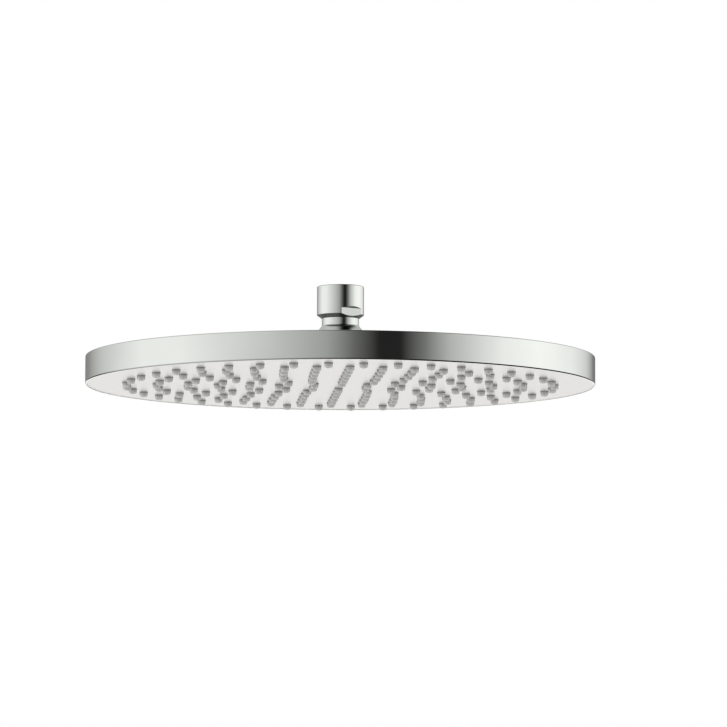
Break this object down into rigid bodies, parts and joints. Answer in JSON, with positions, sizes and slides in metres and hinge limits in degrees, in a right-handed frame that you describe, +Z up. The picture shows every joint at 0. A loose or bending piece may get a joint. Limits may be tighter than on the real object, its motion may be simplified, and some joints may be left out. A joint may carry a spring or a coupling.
{
  "type": "rain shower head",
  "caption": "Flat round rain shower head in polished chrome, with silicone nozzles in rings on its face and a threaded ball joint that lets it tilt and turn under the pipe.",
  "frame": {"origin": "centre of the inlet's mouth, at the top of the threaded nut", "axes": "+Z up, out of the inlet and along the pipe; the spray face looks down, along -Z"},
  "size_m": [0.25, 0.25, 0.0512],
  "materials": {
    "chrome": "polished chrome plate",
    "brass": "turned, unplated",
    "steel": "stainless",
    "rubber": "moulded, matt",
    "silicone": "moulded silicone, satin",
    "acetal": "moulded, satin",
    "abs": "moulded, matt"
  },
  "bodies": {
    "inlet": {"ball_stem": "chrome", "inlet_washer": "rubber", "filter_screen": "steel"},
    "regulator": {"flow_regulator": "acetal", "orifice_washer": "rubber"},
    "head": {"ball_seal": "rubber", "friction_ring": "acetal", "socket_hub": "brass", "hub_seal": "rubber", "shell_washer": "rubber", "hub_nut": "chrome", "collar_nut": "chrome", "top_shell": "chrome", "chamber_cover": "abs", "cover_screws": "steel", "nozzle_mat": "silicone", "face_plate": "chrome"}
  },
  "joints": [
    {"name": "swivel", "type": "hinge", "parent": "inlet", "child": "regulator", "pos_m": [0, 0, -0.02807], "axis": [0, 0, 1], "continuous": true},
    {"name": "tilt", "type": "hinge", "parent": "regulator", "child": "head", "pos_m": [0, 0, -0.02807], "axis": [1, 0, 0], "range_deg": [-20, 20]}
  ]
}
